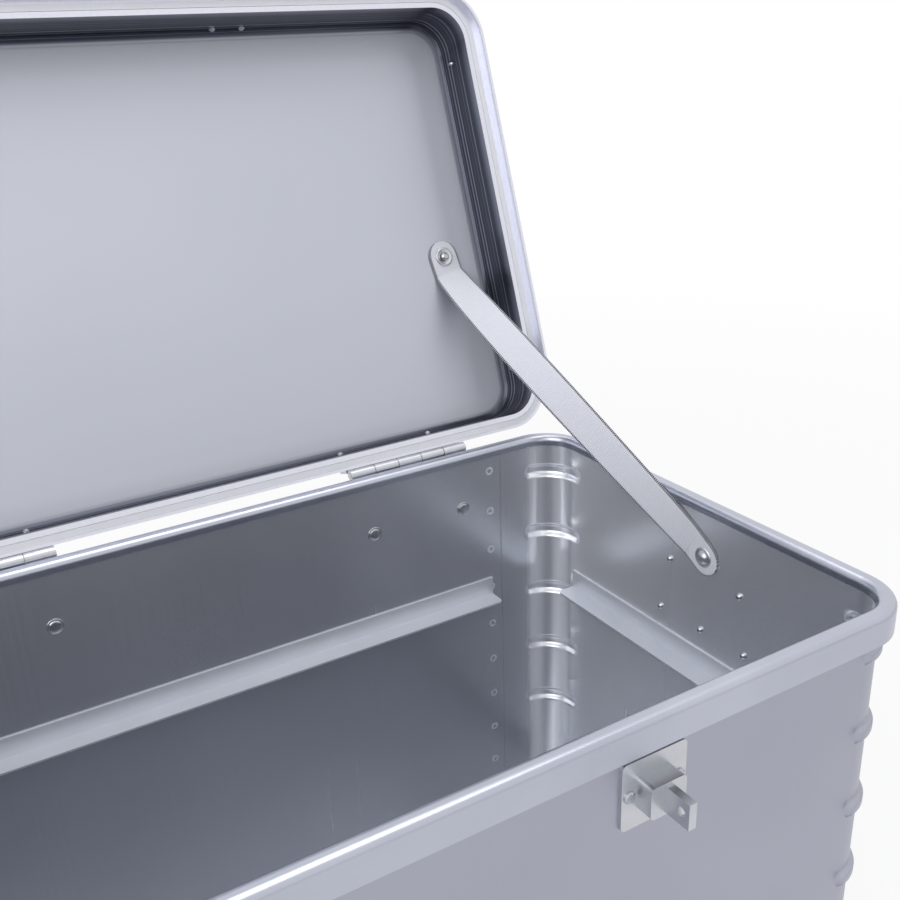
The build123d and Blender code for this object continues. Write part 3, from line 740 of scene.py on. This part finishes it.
# Finishes on the pieces of the frame: the first word found in a name decides
steel = zinc_steel()
rivets = rivet_metal()
finishes = {
    "floor_pan": rolled_sheet(),
    "lid_shell": lid_sheet(),
    "lid_rim": lid_profile(),
    "rim": satin_profile(),
    "ledge": ledge_metal(),
    "rivets": rivets,
    "corner": cast_metal(),
    "seal": pale_rubber(),
    "grip": grip_plastic(),
}
for name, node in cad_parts.items():
    chosen = next((finish for word, finish in finishes.items() if word in name), steel)
    node.data.materials.clear()
    node.data.materials.append(chosen)

# Body wall
skin = body_skin(outer_sheet(), inner_sheet())
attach(skin, "case")
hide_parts("body_shell")

# Lid straps
webbing = strap_webbing()
for side, sign in (("left", -1), ("right", 1)):
    band = strap(f"{side}_strap_webbing", sign, webbing)
    low, high = strap_ends(sign)
    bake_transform(band)
    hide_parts(f"{side}_strap")

# Ridge on the lid's rim
ridge = lid_ridge(ridge_painted_highlight())
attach(ridge, "lid")

# Hinge rivets, flush inside the wall and domed on the hinge leaves outside
rivet_places = [side * (HINGE_X + half * HINGE_RIVET_APART) for side in (-1, 1) for half in (-0.5, 0.5)]
inside_spots = [(x, INNER_DEPTH / 2, HINGE_RIVET_Z) for x in rivet_places]
outside_spots = [(x, INNER_DEPTH / 2 + WALL + HINGE_LEAF, HINGE_RIVET_Z) for x in rivet_places]
inside_heads = turned("hinge_rivets_inside", FLUSH_RIVET, inside_spots, (0, -1, 0), rivets)
outside_heads = turned("hinge_rivets_outside", DOME, outside_spots, (0, 1, 0), rivets)
for piece in (inside_heads, outside_heads):
    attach(piece, "case")
    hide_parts("hinge_body_rivets")

# Strap studs on the walls and strap washers in the lid
strap_face = STRAP_SEAT + STRAP_SHEET
for side, sign in (("left", -1), ("right", 1)):
    low, high = strap_ends(sign)
    inwards = np.array([-sign, 0, 0])
    stud_spot = low + inwards * strap_face
    stud = turned(f"{side}_strap_stud", STRAP_STUD, [stud_spot], inwards, steel, STUD_TURNS)
    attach(stud, "case")
    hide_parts("strap_body_rivets")
    washer_spot = high - LID_UP * strap_face
    washer = turned(f"{side}_strap_washer", WASHER, [washer_spot], -LID_UP, steel, STUD_TURNS)
    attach(washer, "lid")
    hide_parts("strap_washers")


# Studio
def area_light(name, place, aim, size, power):
    """A rectangular lamp at a place, turned to face its aim."""
    lamp = bpy.data.lights.new(name, "AREA")
    lamp.shape = "RECTANGLE"
    lamp.size, lamp.size_y = size
    lamp.energy = power
    thing = bpy.data.objects.new(name, lamp)
    thing.location = place
    thing.rotation_euler = (Vector(aim) - Vector(place)).to_track_quat("-Z", "Y").to_euler()
    bpy.context.collection.objects.link(thing)


def studio_world():
    """White to the camera and to reflections, a softer grey for the light on the object."""
    world = bpy.data.worlds.new("studio")
    world.use_nodes = True
    bpy.context.scene.world = world
    nodes = Nodes(world.node_tree)
    seen = nodes.node("ShaderNodeLightPath", {}, {}, output="Is Camera Ray")
    for ray in ("Is Glossy Ray", "Is Transmission Ray"):
        seen = seen.at_least(nodes.node("ShaderNodeLightPath", {}, {}, output=ray))
    background = nodes.tree.nodes["Background"]
    nodes.put(background.inputs["Color"], WHITE)
    nodes.put(background.inputs["Strength"], seen.ramp(0.0, 1.0, SOFT_STRENGTH, 1.0))


def studio_floor():
    """Pale floor that the camera sees go over to white, away from the object."""
    m = Finish("studio_floor")
    m.set(Base_Color=FLOOR_COLOUR, Roughness=0.9)
    seen = m.node("ShaderNodeLightPath", {}, {}, output="Is Camera Ray")
    away = (m.axis("X") ** 2.0 + m.axis("Y") ** 2.0) ** 0.5
    white = m.node("ShaderNodeEmission", {}, {"Strength": 1.0})
    surface = Value(m, m.shader.outputs[0])
    factor = seen * away.ramp(*FLOOR_FADE, FLOOR_NEAR, 1.0)
    mixed = m.node("ShaderNodeMixShader", {}, {0: factor, 1: surface, 2: white})
    m.put(m.tree.nodes["Material Output"].inputs[0], mixed)
    far = FLOOR_REACH
    grid = np.array([[[-far, -far, 0], [far, -far, 0]], [[-far, far, 0], [far, far, 0]]], float)
    floor = grid_piece("studio_floor", grid, [m.material], smooth=False)
    floor.data.flip_normals()


def studio_camera():
    """Camera on its solved place: X right, Y up, Z backwards, then rolled about Z."""
    data = bpy.data.cameras.new("camera")
    data.lens = CAMERA_LENS
    data.sensor_width = CAMERA_SENSOR
    data.clip_start = CAMERA_NEAR
    camera = bpy.data.objects.new("camera", data)
    bpy.context.collection.objects.link(camera)
    azimuth, elevation, roll = np.radians([CAMERA_AZIMUTH, CAMERA_ELEVATION, CAMERA_ROLL])
    back = np.array([
        np.sin(azimuth) * np.cos(elevation),
        -np.cos(azimuth) * np.cos(elevation),
        np.sin(elevation),
    ])
    right = unit(np.cross([0, 0, 1.0], back))
    up = np.cross(back, right)
    rolled_right = np.cos(roll) * right + np.sin(roll) * up
    rolled_up = np.cos(roll) * up - np.sin(roll) * right
    axes = Matrix(np.array([rolled_right, rolled_up, back]).T.tolist())
    camera.matrix_world = Matrix.Translation(CAMERA_PLACE) @ axes.to_4x4()
    bpy.context.scene.camera = camera


studio_world()
studio_floor()
area_light("key", place=(-2.3, -1.1, 1.9), aim=(0, 0, 0.3), size=(2.4, 2.4), power=30)
area_light("top", place=(0.3, 0.2, 2.6), aim=(0, 0.1, 0.3), size=(2.0, 1.4), power=18)
studio_camera()
bpy.context.scene.view_settings.view_transform = "Standard"
